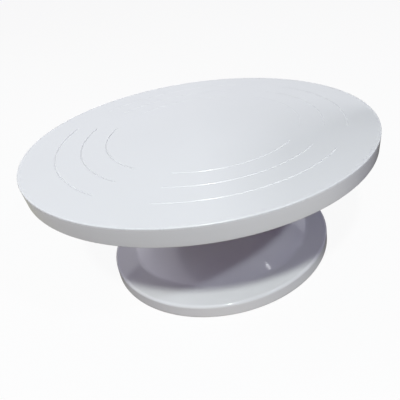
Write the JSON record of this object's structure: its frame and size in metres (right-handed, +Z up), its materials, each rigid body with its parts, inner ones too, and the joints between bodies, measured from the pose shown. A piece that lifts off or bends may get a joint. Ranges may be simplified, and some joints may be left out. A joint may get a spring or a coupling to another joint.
{
  "type": "cake turntable",
  "caption": "Round plate with a skirt and broken guide rings that spins on a flared pedestal with a low rimmed foot.",
  "frame": {"origin": "centre of the footprint, on the table, under the turning axis", "axes": "+Z up along the turning axis; +X and +Y lie in the table's plane, with the gaps in the guide rings at 68, 158, 248 and 338 degrees from +X"},
  "size_m": [0.305, 0.305, 0.1255],
  "materials": {
    "plate_plastic": "smooth moulded white plastic, satin gloss",
    "pedestal_plastic": "moulded white plastic, high gloss",
    "cover_plastic": "fine-textured grey moulded plastic",
    "foot_rubber": "matt black rubber",
    "zinc_steel": "zinc-plated pressed steel",
    "screw_steel": "zinc-plated screws",
    "ground_steel": "ground steel shaft",
    "bearing_steel": "polished bearing steel",
    "ball_steel": "polished steel balls",
    "cage_brass": "stamped brass cage",
    "cast_aluminium": "die-cast aluminium with machined seats",
    "acetal": "natural acetal",
    "spring_steel": "phosphated black spring steel"
  },
  "bodies": {
    "base": {"pedestal_shell": "pedestal_plastic", "base_cover": "cover_plastic", "cover_screws": "screw_steel", "rubber_feet": "foot_rubber", "bearing_housing": "cast_aluminium", "housing_screws": "screw_steel", "guide_bush": "acetal", "thrust_washer_lower": "bearing_steel", "bearing_outer_ring": "bearing_steel", "bearing_shields": "zinc_steel", "housing_circlip": "spring_steel"},
    "rotor": {"turntable_plate": "plate_plastic", "hub_flange": "zinc_steel", "hub_screws": "screw_steel", "spindle": "ground_steel", "thrust_washer_upper": "bearing_steel", "bearing_inner_ring": "bearing_steel", "shim_washer": "zinc_steel", "spindle_circlip": "spring_steel"},
    "thrust_cage_set": {"thrust_cage": "cage_brass", "thrust_balls": "ball_steel"},
    "bearing_cage_set": {"bearing_cage": "cage_brass", "bearing_balls": "ball_steel"}
  },
  "joints": [
    {"name": "plate_spin", "type": "hinge", "parent": "base", "child": "rotor", "pos_m": [0, 0, 0.1], "axis": [0, 0, 1], "continuous": true},
    {"name": "thrust_cage_spin", "type": "hinge", "parent": "base", "child": "thrust_cage_set", "pos_m": [0, 0, 0.1025], "axis": [0, 0, 1], "continuous": true},
    {"name": "bearing_cage_spin", "type": "hinge", "parent": "base", "child": "bearing_cage_set", "pos_m": [0, 0, 0.056], "axis": [0, 0, 1], "continuous": true}
  ],
  "couplings": [
    {"joint": "thrust_cage_spin", "follows": "plate_spin", "ratio": 0.5},
    {"joint": "bearing_cage_spin", "follows": "plate_spin", "ratio": 0.381}
  ]
}
